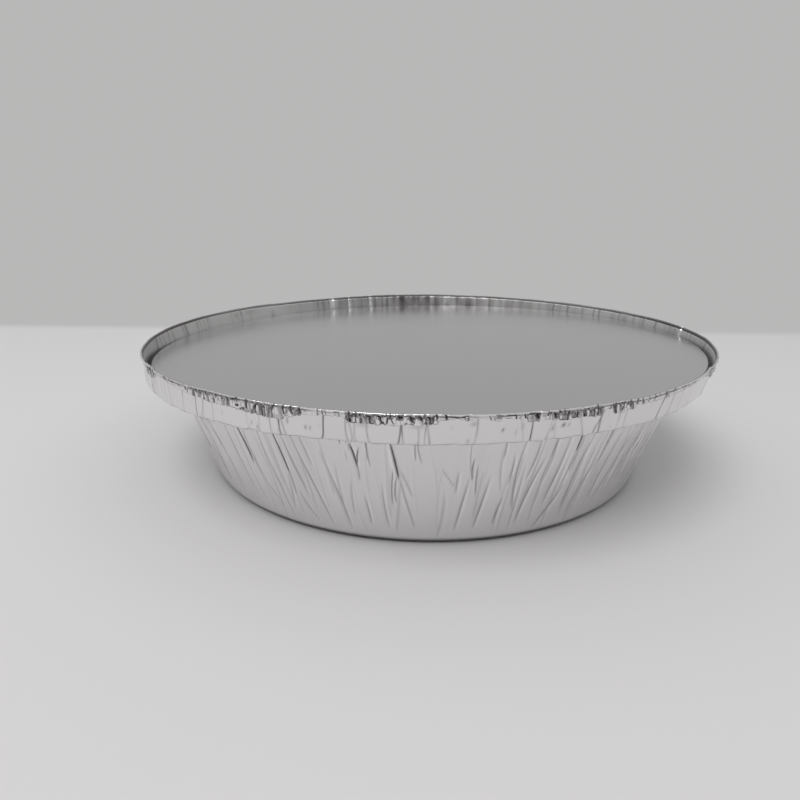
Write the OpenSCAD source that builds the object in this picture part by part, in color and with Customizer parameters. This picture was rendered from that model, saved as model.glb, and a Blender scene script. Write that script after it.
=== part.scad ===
// Shallow round foil food pan with a flat board lid, in millimetres.
// +Z is up, and the origin is the centre of the base's underside.
// The pan is one sheet of foil: base, creased wall, lid ledge, upright flange and rolled rim.

/* [Pan] */
// Diameter over the rolled rim
rim_d = 181; // [170:1:240]
// Height from the base to the top of the rim
pan_h = 41; // [30:0.5:70]
// Diameter at which the slope of the wall would meet the base
base_d = 142; // [110:1:150]
// Thickness of the foil
foil_t = 0.1; // [0.06:0.01:0.2]
// Radius of the bend between base and wall
corner_r = 3; // [1:0.5:6]
// Radius of the bend between wall and ledge
shoulder_r = 2; // [1:0.5:3]

/* [Base] */
// Width of the flat band that the pan stands on
foot_band_w = 12; // [6:1:30]
// Height of the raised panel inside that band
panel_rise = 0.8; // [0:0.1:2]
// Width of the sloping edge of the panel
panel_edge_w = 1.5; // [1:0.5:4]

/* [Lid seat] */
// Width of the ledge that the lid is pushed down towards
ledge_w = 6.2; // [5:0.2:10]
// Height of the flange above the ledge
flange_h = 7.5; // [6:0.5:12]
// How far the flange leans out between its foot and its top
flange_flare = 1.8; // [0.4:0.1:3]

/* [Rolled rim] */
// Height of the rolled rim
roll_h = 2.3; // [1.5:0.1:3]
// Width of the rolled rim
roll_w = 0.8; // [0.7:0.1:2]
// Depth of the deepest crimp in the rolled rim
crimp_depth = 0.5; // [0:0.05:0.6]
// How far the free edge of the roll rides up where it is crimped
crimp_rise = 0.5; // [0:0.05:0.8]

/* [Folds] */
// Number of folds round the pan
fold_count = 96; // [60:1:100]
// Depth of the deepest fold, at the top of the wall
fold_depth = 1.1; // [0:0.1:1.4]
// Depth of the deepest fold where it crosses the ledge
ledge_fold = 0.4; // [0:0.1:0.5]
// Depth of the deepest fold in the flange
flange_fold = 0.4; // [0:0.1:0.5]
// Width of the narrow strip in which a fold steps in or out
fold_w = 0.8; // [0.4:0.1:1.5]
// How far a group of folds leans sideways down the wall, in degrees round the pan
fold_lean = 2.5; // [0:0.5:4]

/* [Lid] */
// Thickness of the lid board
lid_t = 0.5; // [0.3:0.1:1]
// Clearance between the flange and the low side of the lid
lid_play = 0.2; // [0.1:0.05:0.5]
// Height at which the low side of the lid has jammed, above the folds of the ledge
lid_rest = 1.8; // [0.1:0.1:2.5]
// How much higher the raised side of the lid stands
lid_lift = 3.5; // [0:0.5:4]
// Direction of the low side of the lid, in degrees from +X
lid_low_side = 150; // [0:5:355]
// How far the lid has slid off the middle, as a share of the free room on that side
lid_slide = 0.75; // [0:0.05:0.8]
// Direction in which the lid has slid, in degrees from +X
lid_slide_side = 290; // [0:5:355]

/* [Hidden] */

// Radii and heights of the sheet's middle surface
rim_r = rim_d / 2 - foil_t / 2;
flange_top_r = rim_d / 2 - roll_w + foil_t / 2;
flange_foot_r = flange_top_r - flange_flare;
shoulder_x = flange_foot_r - ledge_w;
base_x = base_d / 2;
base_z = foil_t / 2;
top_z = pan_h - foil_t / 2;
ledge_z = pan_h - flange_h;
flare_slope = flange_flare / (top_z - ledge_z);

// Bends at the two ends of the wall
wall_slope = atan((shoulder_x - base_x) / (ledge_z - base_z));
corner_run = corner_r / tan((90 + wall_slope) / 2);
shoulder_run = shoulder_r * tan((90 - wall_slope) / 2);
foot_out_r = base_x - corner_run;
foot_in_r = foot_out_r - foot_band_w;
wall_foot = [base_x + corner_run * sin(wall_slope), base_z + corner_run * cos(wall_slope)];
wall_head = [shoulder_x - shoulder_run * sin(wall_slope), ledge_z - shoulder_run * cos(wall_slope)];

// The rolled rim turns over in a flat top with two small bends
roll_bend = roll_w / 5;
roll_foot_z = pan_h - roll_h;
flange_roll_r = flange_foot_r + flare_slope * (roll_foot_z - ledge_z);

// Every fold has a pair of steps close together, and the sheet steps in or out between them
steps = 2 * fold_count;
step_a = 360 / steps;
pair_a = fold_w / shoulder_x * 180 / PI;
fold_place = rands(-0.5, 0.5, fold_count, 11);
fold_share = rands(0.3, 1, fold_count, 23);
fold_start = rands(0, 0.55, fold_count, 37);
fold_turn = rands(-1, 1, fold_count, 41);
fold_crimp = rands(0.2, 1, fold_count, 53);
lean_waves = 7;

// Where the wall's folds are worked out, from its foot at 0 to its head at 1
wall_stations = [0, 0.3, 0.58, 0.82, 1];

function wall_point(w) = wall_foot + w * (wall_head - wall_foot);
function arc_point(centre, r, a) = centre + r * [cos(a), sin(a)];
function corner_point() = arc_point([foot_out_r, base_z + corner_r], corner_r, -(90 + wall_slope) / 2);

// The sheet's section, from the middle of the base out and up to the free edge of the roll
section = [
    [foot_in_r - panel_edge_w, base_z + panel_rise],
    [foot_in_r, base_z],
    [foot_out_r, base_z],
    corner_point(),
    for (w = wall_stations) wall_point(w),
    [shoulder_x + shoulder_run, ledge_z],
    [flange_foot_r, ledge_z],
    [flange_roll_r, roll_foot_z],
    [flange_top_r + roll_bend, top_z],
    [rim_r - roll_bend, top_z - roll_bend / 2],
    [rim_r, roll_foot_z]
];
rows = len(section);
first_wall_row = 4;
last_wall_row = first_wall_row + len(wall_stations) - 1;
flange_row = rows - 4;
roll_row = rows - 3;

// Direction that points out of the pan, square to the sheet's section at one of its rows
function out_of(row) =
    let (
        ahead = section[min(row + 1, rows - 1)],
        behind = section[max(row - 1, 0)],
        run = (ahead - behind) / norm(ahead - behind)
    )
    [run[1], -run[0]];

// How far along the wall a row lies: 0 at its foot and below, 1 at its head and above
function up_wall(row) =
    row <= first_wall_row ? 0 : row >= last_wall_row ? 1 : wall_stations[row - first_wall_row];

// Which fold a step belongs to, and whether it is the first or the second of its pair
function fold_of(step) = floor(step / 2);
function side_of(step) = step % 2 == 0 ? -1 : 1;
function turn_of(step) = fold_turn[fold_of(step)] < 0 ? -1 : 1;

// Each fold starts at its own height on the wall and deepens up to the ledge
function fold_growth(row, fold) = max(0, (up_wall(row) - fold_start[fold]) / (1 - fold_start[fold]));

function fold_size(row) = row <= last_wall_row ? fold_depth : row < flange_row ? ledge_fold : flange_fold;

// How far a fold moves the sheet off its smooth section, out on one side and in on the other
function fold_shift(row, step) =
    let (fold = fold_of(step))
    side_of(step) * turn_of(step) * fold_share[fold] * fold_growth(row, fold) * fold_size(row) / 2;

// The same folds crimp the roll: its outside is pinched in and its free edge rides up
function crimp(row, step) =
    side_of(step) == turn_of(step)
    ? fold_crimp[fold_of(step)] * (row - roll_row) / (rows - 1 - roll_row)
    : 0;

function sheet_shift(row, step) =
    row < roll_row
    ? fold_shift(row, step) * out_of(row)
    : crimp(row, step) * [-crimp_depth, row == rows - 1 ? crimp_rise : 0];

// Steps are evenly spread up to the foot of the wall, and above that they gather in pairs
function even_angle(step) = step_a * step;
function pair_angle(step) =
    step_a * (2 * fold_of(step) + 0.5 + fold_place[fold_of(step)]) + side_of(step) * pair_a / 2;
function lean_angle(row, step) = (1 - up_wall(row)) * fold_lean * sin(lean_waves * step_a * step);
function angle(row, step) =
    row <= first_wall_row ? even_angle(step) : pair_angle(step) + lean_angle(row, step);

// A point of one face of the sheet: side is 1 for the outer face and -1 for the inner one
function skin_point(side, row, step) =
    let (
        p = section[row] + sheet_shift(row, step) + side * foil_t / 2 * out_of(row),
        a = angle(row, step)
    )
    [p[0] * cos(a), p[0] * sin(a), p[1]];

skin_size = rows * steps;
outer_pole = 2 * skin_size;
inner_pole = outer_pole + 1;
panel_z = base_z + panel_rise;

function at(skin, row, step) = skin * skin_size + row * steps + step % steps;

// Two triangles over four corners, split the other way on odd steps so that folds stay even
function two_triangles(a, b, c, d, step) =
    step % 2 == 0 ? [[a, b, c], [a, c, d]] : [[a, b, d], [b, c, d]];

sheet_points = [
    for (side = [1, -1], row = [0 : rows - 1], step = [0 : steps - 1]) skin_point(side, row, step),
    [0, 0, panel_z - foil_t / 2],
    [0, 0, panel_z + foil_t / 2]
];

// The two triangles between two rows of one skin, and the two that close the sheet's free edge
function skin_patch(skin, row, s) =
    two_triangles(at(skin, row, s), at(skin, row + 1, s), at(skin, row + 1, s + 1), at(skin, row, s + 1), s);
function edge_patch(s) =
    let (last = rows - 1)
    two_triangles(at(0, last, s), at(1, last, s), at(1, last, s + 1), at(0, last, s + 1), s);
function turned_over(triangle) = [triangle[2], triangle[1], triangle[0]];

sheet_faces = [
    for (row = [0 : rows - 2], s = [0 : steps - 1]) each skin_patch(0, row, s),
    for (row = [0 : rows - 2], s = [0 : steps - 1], t = skin_patch(1, row, s)) turned_over(t),
    for (s = [0 : steps - 1]) each edge_patch(s),
    for (s = [0 : steps - 1]) [outer_pole, at(0, 0, s), at(0, 0, s + 1)],
    for (s = [0 : steps - 1]) [inner_pole, at(1, 0, s + 1), at(1, 0, s)]
];

// The lid has jammed in the flare of the flange: low on one side, raised on the other
lid_low_z = ledge_z + foil_t / 2 + ledge_fold / 2 + lid_rest;
function flange_room(z) = flange_foot_r + flare_slope * (z - ledge_z) - foil_t / 2 - flange_fold / 2;
lid_r = flange_room(lid_low_z) - lid_play;
lid_tilt = asin(lid_lift / (2 * lid_r));
lid_mid_z = lid_low_z + (lid_lift + lid_t) / 2;
round_fn = 96;

// The higher the lid stands on one side, the more room the flare leaves it there to slide
function slide_room(side) = lid_play + flare_slope * lid_lift / 2 * (1 - cos(side - lid_low_side));
slide_way = [cos(lid_slide_side), sin(lid_slide_side)];
lid_centre = lid_slide * slide_room(lid_slide_side) * slide_way;

module foil_pan() {
    color([0.77, 0.77, 0.78])
        polyhedron(points = sheet_points, faces = sheet_faces, convexity = 6);
}

module board_lid() {
    color([0.62, 0.62, 0.64])
        translate([lid_centre[0], lid_centre[1], lid_mid_z])
            rotate([0, lid_tilt, lid_low_side])
                translate([0, 0, -lid_t / 2])
                    cylinder(r = lid_r, h = lid_t, $fn = round_fn);
}

foil_pan();
board_lid();
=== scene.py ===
"""A shallow round foil pan with a satin board lid lying in its rim. Metres, +Z up."""

import math
from types import SimpleNamespace

import bmesh
import bpy
import numpy as np
from mathutils import Matrix, Vector


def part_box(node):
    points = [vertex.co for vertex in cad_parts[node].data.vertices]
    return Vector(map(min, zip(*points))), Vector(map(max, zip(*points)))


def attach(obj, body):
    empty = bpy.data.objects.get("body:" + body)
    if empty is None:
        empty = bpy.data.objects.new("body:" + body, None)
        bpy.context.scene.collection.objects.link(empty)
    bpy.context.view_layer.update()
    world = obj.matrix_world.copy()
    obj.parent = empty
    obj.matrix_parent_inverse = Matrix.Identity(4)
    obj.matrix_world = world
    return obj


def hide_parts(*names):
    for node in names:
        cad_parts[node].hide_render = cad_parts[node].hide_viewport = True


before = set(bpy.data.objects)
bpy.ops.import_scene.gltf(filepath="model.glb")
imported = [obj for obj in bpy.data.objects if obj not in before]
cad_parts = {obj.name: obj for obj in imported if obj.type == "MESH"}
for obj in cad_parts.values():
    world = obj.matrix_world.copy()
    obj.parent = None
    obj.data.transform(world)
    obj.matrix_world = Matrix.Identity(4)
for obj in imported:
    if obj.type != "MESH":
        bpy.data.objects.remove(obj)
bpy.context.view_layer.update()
MM = 0.001
ROUND = 2 * math.pi

# The pan's sizes, as on the solid it replaces
PAN_LOW, PAN_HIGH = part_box("foil_pan")
RIM_R = (PAN_HIGH[0] - PAN_LOW[0]) / 2
PAN_H = PAN_HIGH[2]
FOIL_T = 0.1 * MM
BASE_R = 71.0 * MM
CORNER_R = 3.0 * MM
SHOULDER_R = 2.0 * MM
FOOT_BAND_W = 12.0 * MM
PANEL_RISE = 0.8 * MM
PANEL_EDGE_W = 1.5 * MM
LEDGE_W = 6.2 * MM
FLANGE_H = 7.5 * MM
FLANGE_FLARE = 1.8 * MM
ROLL_H = 2.3 * MM
ROLL_W = 0.8 * MM

# The sheet's middle surface
SHEET_RIM_R = RIM_R - FOIL_T / 2
FLANGE_TOP_R = RIM_R - ROLL_W + FOIL_T / 2
FLANGE_FOOT_R = FLANGE_TOP_R - FLANGE_FLARE
SHOULDER_X = FLANGE_FOOT_R - LEDGE_W
LEDGE_Z = PAN_H - FLANGE_H
BASE_Z = FOIL_T / 2
TOP_Z = PAN_H - FOIL_T / 2
WALL_SLOPE = math.atan2(SHOULDER_X - BASE_R, LEDGE_Z - BASE_Z)
CORNER_RUN = CORNER_R * math.tan((math.pi / 2 - WALL_SLOPE) / 2)
SHOULDER_RUN = SHOULDER_R * math.tan((math.pi / 2 - WALL_SLOPE) / 2)
FOOT_OUT_R = BASE_R - CORNER_RUN
FOOT_IN_R = FOOT_OUT_R - FOOT_BAND_W
WALL_START_R = FOOT_OUT_R - 1.0 * MM
WALL_FOOT = (BASE_R + CORNER_RUN * math.sin(WALL_SLOPE), BASE_Z + CORNER_RUN * math.cos(WALL_SLOPE))
WALL_HEAD = (SHOULDER_X - SHOULDER_RUN * math.sin(WALL_SLOPE), LEDGE_Z - SHOULDER_RUN * math.cos(WALL_SLOPE))
HEM_CREST_H = 0.40 * MM
HEM_FACE_H = TOP_Z - HEM_CREST_H - (PAN_H - ROLL_H)

# The lid's size and tilt, as on the solid it replaces
LID_LOW, LID_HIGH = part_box("board_lid")
LID_T = 0.5 * MM
LID_R = (LID_HIGH[0] - LID_LOW[0]) / 2
LID_EDGE_R = 0.12 * MM
LID_LOW_SIDE = math.radians(150)
LID_LIFT = 3.5 * MM

# How finely the pieces are made: steps round the pan. The wall and the hem are cut into thirds
WALL_STEPS = 2520
FLANGE_STEPS = 2520
HEM_STEPS = 4320
BASE_STEPS = 360
LID_STEPS = 256
THIRDS = 3
WELD_GAP = 1e-7

# How far the deepest folds of each kind move the foil
PLEAT_DEPTH = 0.22 * MM
CREASE_DEPTH = 0.42 * MM
FLANGE_CREASE_DEPTH = 0.10 * MM
LISTED_DENT_DEPTH = 0.08 * MM
RANDOM_DENT_DEPTH = 0.12 * MM
STROKE_DEPTH = 0.12 * MM

# How far the rim's right end, the flange's foot, the flat hem and the bent tips stand out of true
RIM_OUT = 0.75 * MM
FOOT_OUT_LEFT = 1.9 * MM
FOOT_OUT_RIGHT = 0.7 * MM
LEAN_OUT = 0.42 * MM
BENT_TIP = 0.85 * MM

# Lines with uneven folds: least and most distance between two folds at the rim, and the line's reach
RIM_PANELS = (3.0 * MM, 11 * MM), 0.13 * MM
WALL_FACETS = (2.0 * MM, 7.0 * MM), 0.16 * MM
WALL_FLUTES = (0.9 * MM, 2.6 * MM), 0.05 * MM
FLANGE_RIPPLES = (0.8 * MM, 2.6 * MM), 0.03 * MM
UPPER_CRUMPLES = (0.7 * MM, 3.0 * MM), 0.10 * MM
LOWER_CRUMPLES = (1.2 * MM, 4.0 * MM), 0.10 * MM
FOOT_SCALLOPS = (0.6 * MM, 3.5 * MM), 0.20 * MM
# From here to HEM_BREAKS the lines vary painted shade, and the blotches painted highlights too; their reach is
# in shade
FOOT_SHADE_TONE = (0.3 * MM, 2.5 * MM), 0.45
FINE_PAINTED_BLOTCHES = (0.5 * MM, 2.4 * MM), 0.75
TURNING_PAINTED_BLOTCHES = (0.8 * MM, 3.0 * MM), 0.5
HEM_STRIPES = (0.14 * MM, 0.45 * MM), 0.40
HEM_BREAKS = (0.4 * MM, 3 * MM), 0.55
CREST_TOPS = (0.5 * MM, 1.8 * MM), 0.06 * MM

# How many random folds of each kind there are
SHARP_CREASES = 200
FAINT_CREASES = 110
RANDOM_PLEATS = 170
RANDOM_FLANGE_CREASES = 170
RANDOM_DENTS = 90
RANDOM_STROKES = 420

# Degrees from the front up to which the tables below hold, and random folds are left out or faint
CREASES_TO = 44
PLEATS_TO = 48
FLANGE_TO = 32
HEM_TO = 42

# Degrees from the front beyond which the flange's creases are broad and faint
BEHIND = 95

# Seeds of the random draws
HEM_REACH_SEED = 77
PANEL_SEED = 61
CREASE_LIST_SEED = 1807
CREASE_SHAPE_SEED = 1808
WALL_SEED = 31
FLANGE_SEED = 53
HEM_SEED = 97

# The lightest that the painted shade of a fold can be: below 0 it is a painted highlight. At 0 it is as the
# plain foil, and at 1 the painted shade is darkest
MOST_PAINTED_HIGHLIGHT = -0.2

# Where the hem's free edge lies if it is rolled tight, and if it hangs, as shares of its height
TIGHT_HEM = 0.3
HANGING_HEM = 1.15

# Colours of the foil, of the painted shade in its folds and of the painted shade inside its flange, of the
# laminate and of the floor
PLAIN_FOIL = (0.80, 0.793, 0.789, 1)
PAINTED_FOLD_SHADE = (0.05, 0.041, 0.041, 1)
PAINTED_INSIDE_SHADE = (0.05, 0.045, 0.045, 1)
LAMINATE = (0.585, 0.578, 0.580, 1)
PALE_BOARD = (0.62, 0.61, 0.615, 1)

# The even tone that the camera sees behind everything
ROOM_TONE = (0.485, 0.48, 0.478, 1)

# The room's brightness low down and halfway up, each before and behind the pan, and overhead
LOW_SKY = (0.18, 0.49)
MIDDLE_SKY = (1.28, 0.61)
TOP_SKY = 0.66

# The lamp, and the camera's place above the rim
LAMP_PLACE = (-0.29, -0.58, 1.13)
LAMP_SIZE = 0.8
LAMP_POWER = 6.95
CAMERA_PLACE = (0, -2.266 * RIM_R, PAN_H + 0.429 * RIM_R)
CAMERA_PITCH = math.radians(17.31)
CAMERA_YAW = math.radians(-2.29)
CAMERA_ROLL = math.radians(-0.17)
FLOOR_R = 6.0

# The sharp creases that show in the front of the wall, with painted shade in them. Each runs from its upper to
# its lower end:
# degrees from the front and share of the wall's height, twice, then how dark its painted shade is and its
# width in mm
FRONT_CREASES = [
    (-35.9, 1.00, -34.5, 0.52, 0.90, 0.55), (-33.9, 0.70, -33.8, 0.50, 0.30, 0.50),
    (-26.7, 1.00, -25.4, 0.52, 1.00, 0.60), (-25.6, 0.60, -25.3, 0.30, 0.45, 0.45),
    (-13.5, 1.00, -13.3, 0.93, 0.80, 0.40), (-13.0, 0.98, -12.1, 0.86, 0.45, 0.35),
    (-11.9, 0.95, -11.0, 0.70, 1.00, 0.70), (-11.1, 0.76, -10.9, 0.58, 0.50, 0.40),
    (-12.9, 0.86, -12.7, 0.77, 0.30, 0.45), (-10.3, 0.90, -10.8, 0.75, 0.80, 0.45),
    (-9.2, 1.00, -9.1, 0.79, 0.55, 0.42), (-8.9, 1.00, -8.7, 0.73, 0.55, 0.42),
    (-5.2, 1.00, -3.9, 0.62, 1.00, 0.70), (-4.1, 0.68, -1.2, 0.10, 0.45, 0.50),
    (-4.8, 0.72, -5.3, 0.36, 0.65, 0.42), (-4.2, 0.66, -4.5, 0.38, 0.60, 0.42),
    (-3.6, 0.72, -1.5, 0.44, 0.40, 0.50), (-1.1, 1.00, -1.0, 0.80, 0.55, 0.42),
    (-0.7, 1.00, 0.0, 0.78, 0.50, 0.42), (3.3, 0.74, 5.9, 0.54, 0.35, 0.55),
    (7.9, 1.00, 8.3, 0.68, 0.40, 0.35), (8.7, 0.83, 8.8, 0.60, 0.70, 0.48),
    (9.4, 0.76, 9.7, 0.45, 0.50, 0.50), (13.6, 1.00, 13.6, 0.82, 0.50, 0.42),
    (27.8, 1.00, 27.7, 0.78, 1.00, 0.60), (27.7, 0.84, 27.2, 0.50, 0.45, 0.40),
    (27.5, 0.66, 27.1, 0.48, 0.80, 0.45), (35.7, 1.00, 35.0, 0.62, 0.85, 0.45),
    (43.3, 1.00, 42.3, 0.78, 0.45, 0.45),
]

# The broad pleats there, which lean over like shingles. Each is a curve through three points: degrees
# from the front and share of the height, then how dark its painted shade is and its width in mm. A pleat's
# painted shade grows slowly towards its line from the left, or from the right where the width is below zero
FRONT_PLEATS = [
    (-51.8, 0.51, -50.7, 0.35, -42.0, 0.14, 0.25, 1.5), (-45.5, 1.00, -44.5, 0.60, -42.0, 0.20, 0.25, 1.4),
    (-39.8, 1.00, -39.1, 0.59, -36.8, 0.14, 0.30, 1.4), (-36.4, 1.00, -36.0, 0.50, -34.5, 0.10, 0.22, 1.4),
    (-33.1, 1.00, -32.5, 0.38, -28.7, 0.09, 0.32, 1.5), (-30.1, 1.00, -28.6, 0.38, -27.2, 0.04, 0.32, 1.5),
    (-27.9, 1.00, -27.2, 0.50, -26.6, 0.15, 0.22, 1.2), (-24.9, 1.00, -24.1, 0.70, -22.0, 0.31, 0.45, 0.7),
    (-23.2, 1.00, -20.5, 0.50, -17.7, 0.05, 0.45, 0.8), (-21.2, 1.00, -20.2, 0.78, -19.6, 0.66, 0.35, 0.8),
    (-17.5, 0.86, -15.2, 0.38, -13.8, 0.04, 0.40, 1.6), (-24.1, 0.38, -23.1, 0.22, -20.6, 0.06, 0.35, 1.2),
    (-25.6, 0.53, -26.0, 0.34, -26.6, 0.13, 0.30, 1.2), (-12.3, 0.60, -12.8, 0.38, -12.7, 0.20, 0.28, 1.0),
    (-10.4, 0.44, -10.0, 0.30, -9.6, 0.12, 0.42, 0.8), (-6.9, 0.58, -6.8, 0.38, -6.1, 0.10, 0.35, 1.0),
    (6.3, 0.70, 6.2, 0.60, 6.1, 0.48, 0.35, 1.0), (8.3, 0.65, 7.8, 0.48, 6.5, 0.08, 0.45, 1.1),
    (11.9, 0.64, 11.4, 0.44, 10.2, 0.10, 0.45, 1.4), (15.4, 0.85, 15.6, 0.70, 15.4, 0.55, 0.50, 0.6),
    (15.0, 0.43, 14.5, 0.30, 14.1, 0.12, 0.50, 1.1), (17.2, 1.00, 16.6, 0.65, 17.5, 0.26, 0.50, 1.0),
    (19.8, 1.00, 19.4, 0.70, 18.7, 0.58, 0.42, 1.2), (23.2, 1.00, 23.1, 0.85, 23.0, 0.74, 0.42, 1.2),
    (21.8, 0.78, 20.4, 0.54, 18.8, 0.11, 0.48, 1.5), (25.5, 1.00, 25.4, 0.75, 24.1, 0.27, 0.42, 1.5),
    (27.7, 0.45, 26.1, 0.25, 23.2, 0.00, 0.45, 1.4), (29.7, 0.40, 29.5, 0.29, 29.2, 0.15, 0.35, 1.2),
    (28.3, 1.00, 28.2, 0.80, 27.8, 0.55, 0.30, -1.4), (31.2, 1.00, 30.2, 0.72, 29.2, 0.13, 0.38, 1.4),
    (36.0, 1.00, 35.5, 0.80, 35.2, 0.62, 0.30, -1.4), (35.0, 0.66, 32.8, 0.42, 31.1, 0.08, 0.38, 1.3),
    (38.9, 1.00, 37.7, 0.59, 37.0, 0.17, 0.35, 1.4), (43.3, 1.00, 41.8, 0.63, 38.1, 0.11, 0.38, 1.4),
    (47.1, 0.70, 44.8, 0.52, 43.4, 0.36, 0.30, 1.4), (52.9, 0.90, 48.3, 0.59, 46.6, 0.23, 0.30, 1.5),
]

# The creases in the front of the flange: degrees from the front at its top and at its foot, and how dark their
# painted shade is
FLANGE_CREASES = [
    (-25.9, -25.7, 0.5), (-23.7, -23.9, 0.6), (-22.0, -21.9, 0.5), (-20.3, -20.4, 1.0), (-20.2, -19.6, 0.5),
    (-13.2, -13.8, 1.0), (-10.0, -9.5, 0.8), (-10.1, -10.3, 0.6), (-9.0, -9.4, 0.8), (-7.3, -7.3, 0.6),
    (-2.8, -3.3, 0.8), (-2.8, -2.6, 0.7), (0.8, 0.2, 0.8), (0.6, 1.1, 0.7), (-0.6, -0.5, 0.9),
    (7.2, 7.1, 0.5), (14.8, 15.0, 1.0), (13.0, 14.1, 0.4), (17.9, 17.4, 0.6), (17.9, 18.8, 0.5),
    (22.0, 23.5, 0.8), (25.6, 26.2, 0.9), (26.0, 25.0, 0.6), (29.1, 29.4, 0.5), (30.2, 30.7, 0.5),
]

# Small dents of the flange, each with a soft patch of painted shade: degrees from the front, share of its
# height, then half their width and half their height in mm, and how dark the painted shade is
FLANGE_MARKS = [
    (-16.3, 0.39, 0.30, 0.30, 0.6), (-15.6, 0.41, 0.25, 0.40, 0.6),
    (-19.0, 0.55, 0.30, 0.8, 0.55), (-20.4, 0.48, 0.30, 0.7, 0.5), (-24.1, 0.15, 0.25, 0.7, 0.5),
    (-13.0, 0.70, 0.60, 0.15, 0.5), (3.9, 0.66, 0.40, 0.25, 0.45), (6.8, 0.76, 0.80, 0.5, 0.35),
    (7.3, 0.43, 0.25, 0.40, 0.7), (10.8, 0.47, 0.30, 0.40, 0.85), (13.5, 0.57, 0.35, 0.5, 0.6),
    (12.7, 0.39, 0.20, 0.9, 0.3), (18.1, 0.43, 0.30, 0.5, 0.9), (19.7, 0.48, 0.45, 0.30, 1.0),
    (20.6, 0.52, 0.30, 0.30, 0.5), (-8.0, 0.62, 1.6, 0.4, 0.22), (-0.6, 0.60, 1.8, 0.4, 0.25),
    (261.8, 0.41, 0.8, 1.6, 0.30), (241.8, 0.75, 1.2, 1.5, 0.22), (236.5, 0.80, 3.0, 0.8, 0.25),
    (229.1, 0.40, 1.0, 2.4, 0.28), (220.2, 0.30, 1.8, 1.5, 0.22), (199.9, 0.45, 3.4, 1.5, 0.22),
    (186.2, 0.60, 3.4, 2.0, 0.50), (177.4, 0.52, 1.0, 2.0, 0.45), (173.0, 0.50, 0.9, 1.5, 0.30),
    (168.4, 0.68, 1.6, 2.0, 0.45), (162.3, 0.75, 2.4, 1.0, 0.28), (132.0, 0.60, 4.0, 2.6, 0.18),
    (119.8, 0.60, 1.4, 2.4, 0.28), (115.7, 0.60, 1.8, 2.4, 0.32), (96.6, 0.80, 1.5, 2.0, 0.28),
]

# Places in its back where the top of the flange is bent outwards and catches the light, and the hem gets a
# painted highlight:
# degrees from the front and half the width in mm
BENT_OUT = [(209.4, 1.3), (203.9, 0.6), (197.2, 0.8), (94.5, 0.6)]

# How far the free edge of the hem reaches down in front: degrees from the front and the share of the
# hem's full height. Where it reaches far down, the hem is crushed
HEM_EDGE = [
    (-48, 0.5), (-36, 0.8), (-33, 1.0), (-28, 1.0), (-26.2, 1.15), (-25.2, 1.35), (-22.6, 1.40),
    (-22.2, 1.50), (-19.6, 1.45), (-19.2, 1.1), (-17, 0.85), (-16, 0.5), (-13, 0.35), (-10.2, 0.4),
    (-9.9, 0.98), (-8.5, 1.02), (-4, 1.0), (-2.2, 0.95), (0, 1.02), (1.4, 0.98), (1.9, 0.75), (2.3, 0.3),
    (5, 0.25), (5.3, 0.5), (6.2, 0.5), (6.5, 0.25), (8.4, 0.25), (8.7, 0.5), (10.2, 0.5), (10.5, 0.25),
    (12.2, 0.3), (12.6, 0.5), (13.9, 0.5), (14.3, 0.85), (15.6, 0.85), (15.9, 0.2), (16.6, 0.2),
    (16.9, 0.8), (18, 0.8), (18.2, 1.0), (20, 1.0), (20.2, 0.6), (20.4, 0.85), (21.4, 0.85), (21.8, 0.35),
    (22, 0.9), (24.9, 0.95), (25.2, 0.4), (26.9, 0.4), (27.2, 1.0), (28.9, 1.0), (29.2, 0.5), (29.6, 0.85),
    (30.6, 0.85), (31, 0.5), (34, 0.6), (36, 0.5), (48, 0.5),
]
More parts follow.
